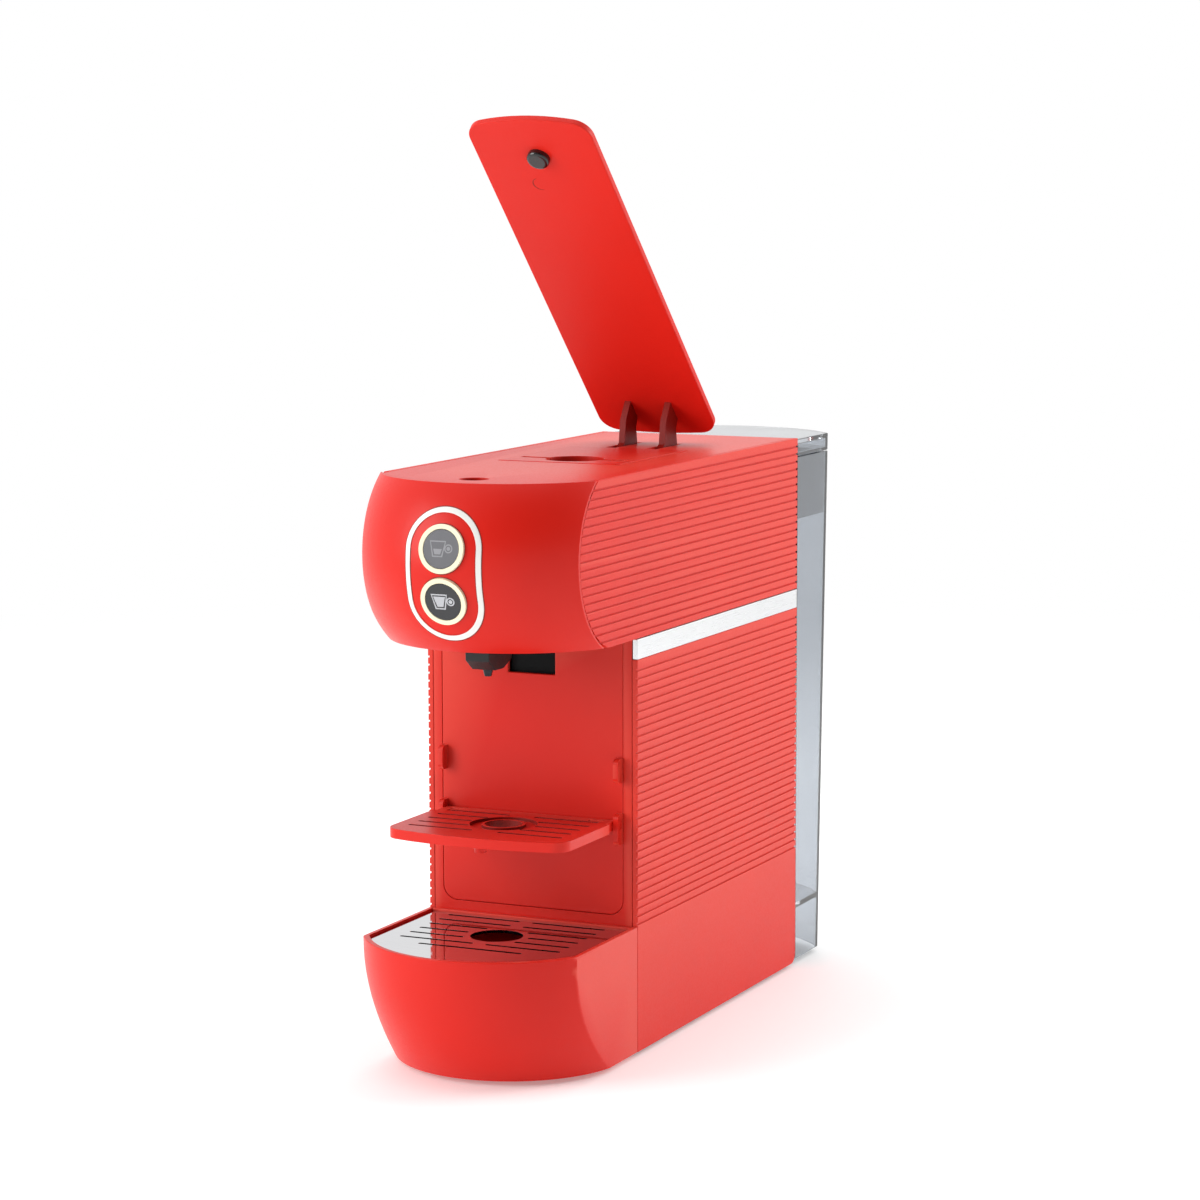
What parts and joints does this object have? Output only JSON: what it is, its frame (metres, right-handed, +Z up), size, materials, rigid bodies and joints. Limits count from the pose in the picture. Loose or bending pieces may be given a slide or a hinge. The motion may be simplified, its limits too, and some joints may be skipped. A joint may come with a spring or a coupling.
{
  "type": "pod coffee machine",
  "caption": "Narrow pod coffee machine with ribbed sides, a lift-up lid, a fold-up cup shelf, a drip tray, a pod drawer and a lift-out water tank.",
  "frame": {"origin": "on the table, under the middle of the machine's length and width, lid open", "axes": "+X to the right seen from the front, +Y towards the tank, +Z up"},
  "size_m": [0.1, 0.34, 0.4014],
  "materials": {
    "red_shell": "satin moulded ABS",
    "red_ribbed": "satin moulded ABS with fine ribs",
    "black_plastic": "fine grained",
    "inner_plastic": "glass filled nylon",
    "trim_metal": "brushed satin",
    "polished_steel": "mirror polished",
    "bezel_white": "plated silver white",
    "ring_cream": "translucent light ring",
    "button_grey": "tinted window",
    "button_black": "tinted window",
    "tank_clear": "clear smoke tinted plastic",
    "tank_frosted": "frosted grey plastic",
    "rubber": "matte",
    "steel": "zinc plated",
    "cast_aluminium": "die cast",
    "copper_winding": "taped copper winding",
    "circuit_board": "solder mask",
    "silicone": "milky silicone"
  },
  "bodies": {
    "machine": {"front_fascia": "red_shell", "top_cover": "red_shell", "chute_insert": "red_shell", "front_frame": "red_shell", "rear_panel": "red_shell", "side_panel_right": "red_ribbed", "side_panel_left": "red_ribbed", "head_panel_right": "red_ribbed", "head_panel_left": "red_ribbed", "head_floor": "black_plastic", "outlet_channel": "black_plastic", "spout": "black_plastic", "tank_seat": "black_plastic", "base_pan": "black_plastic", "pod_chute": "black_plastic", "chassis": "inner_plastic", "brew_frame": "inner_plastic", "extraction_plate": "inner_plastic", "flow_meter": "inner_plastic", "pump_body": "inner_plastic", "trim_strip_right": "trim_metal", "trim_strip_left": "trim_metal", "spout_nozzle": "polished_steel", "button_bezel": "bezel_white", "button_rings": "ring_cream", "feet": "rubber", "cord_gland": "rubber", "valve_seal": "rubber", "pump_mounts": "rubber", "case_screws": "steel", "pump_spring": "steel", "pump_bracket": "steel", "thermostats": "steel", "thermoblock": "cast_aluminium", "pump_coil": "copper_winding", "circuit_boards": "circuit_board", "water_hoses": "silicone"},
    "lid": {"lid": "red_shell", "lid_knob": "black_plastic", "hinge_arms": "red_shell", "hinge_pin": "steel", "cam_pin": "steel"},
    "carriage": {"brew_carriage": "inner_plastic", "brew_piston": "inner_plastic", "piston_seal": "rubber"},
    "drawer": {"bin_front": "red_shell", "shelf_hooks": "red_shell", "pod_bin": "black_plastic"},
    "shelf": {"cup_shelf": "red_shell"},
    "tray": {"drip_tray": "red_shell"},
    "grille": {"drip_grille": "polished_steel"},
    "tank": {"tank_body": "tank_clear", "tank_collar": "tank_frosted", "valve_spring": "steel"},
    "tank_cover": {"tank_lid": "tank_clear"},
    "valve": {"tank_valve": "inner_plastic"},
    "button_top": {"button_upper": "button_grey"},
    "button_bottom": {"button_lower": "button_black"},
    "plunger": {"pump_plunger": "steel"},
    "rotor": {"flow_rotor": "inner_plastic"}
  },
  "joints": [
    {"name": "lid_hinge", "type": "hinge", "parent": "machine", "child": "lid", "pos_m": [0, 0.0579, 0.241], "axis": [1, 0, 0], "range_deg": [0, 44.5]},
    {"name": "carriage_slide", "type": "slide", "parent": "machine", "child": "carriage", "axis": [0, -1, 0], "range_m": [0, 0.0141]},
    {"name": "drawer_slide", "type": "slide", "parent": "machine", "child": "drawer", "axis": [0, -1, 0], "range_m": [0, 0.078]},
    {"name": "shelf_fold", "type": "hinge", "parent": "drawer", "child": "shelf", "pos_m": [0, -0.0836, 0.1009], "axis": [1, 0, 0], "range_deg": [-70, 0]},
    {"name": "tray_slide", "type": "slide", "parent": "machine", "child": "tray", "axis": [0, -1, 0], "range_m": [0, 0.09]},
    {"name": "grille_lift", "type": "slide", "parent": "tray", "child": "grille", "axis": [0, 0, 1], "range_m": [0, 0.035]},
    {"name": "tank_lift", "type": "slide", "parent": "machine", "child": "tank", "axis": [0, 0, 1], "range_m": [0, 0.24]},
    {"name": "tank_lid_lift", "type": "slide", "parent": "tank", "child": "tank_cover", "axis": [0, 0, 1], "range_m": [0, 0.05]},
    {"name": "valve_lift", "type": "slide", "parent": "tank", "child": "valve", "axis": [0, 0, 1], "range_m": [0, 0.0025], "stiffness_N_per_m": 150, "springref_m": -0.002, "deforming": ["valve_spring"]},
    {"name": "button_upper_press", "type": "slide", "parent": "machine", "child": "button_top", "axis": [0, 0.9894, -0.1451], "range_m": [0, 0.0012], "stiffness_N_per_m": 900, "springref_m": -0.0004},
    {"name": "button_lower_press", "type": "slide", "parent": "machine", "child": "button_bottom", "axis": [0, 0.9593, 0.2824], "range_m": [0, 0.0012], "stiffness_N_per_m": 900, "springref_m": -0.0004},
    {"name": "plunger_stroke", "type": "slide", "parent": "machine", "child": "plunger", "axis": [0, 0, 1], "range_m": [-0.002, 0.002], "stiffness_N_per_m": 700, "springref_m": 0.0002, "deforming": ["pump_spring"]},
    {"name": "rotor_spin", "type": "hinge", "parent": "machine", "child": "rotor", "pos_m": [-0.02, 0.078, 0.066], "axis": [0, 0, 1], "continuous": true}
  ],
  "couplings": [
    {"joint": "carriage_slide", "follows": "lid_hinge", "m_per_rad": 0.018026}
  ]
}
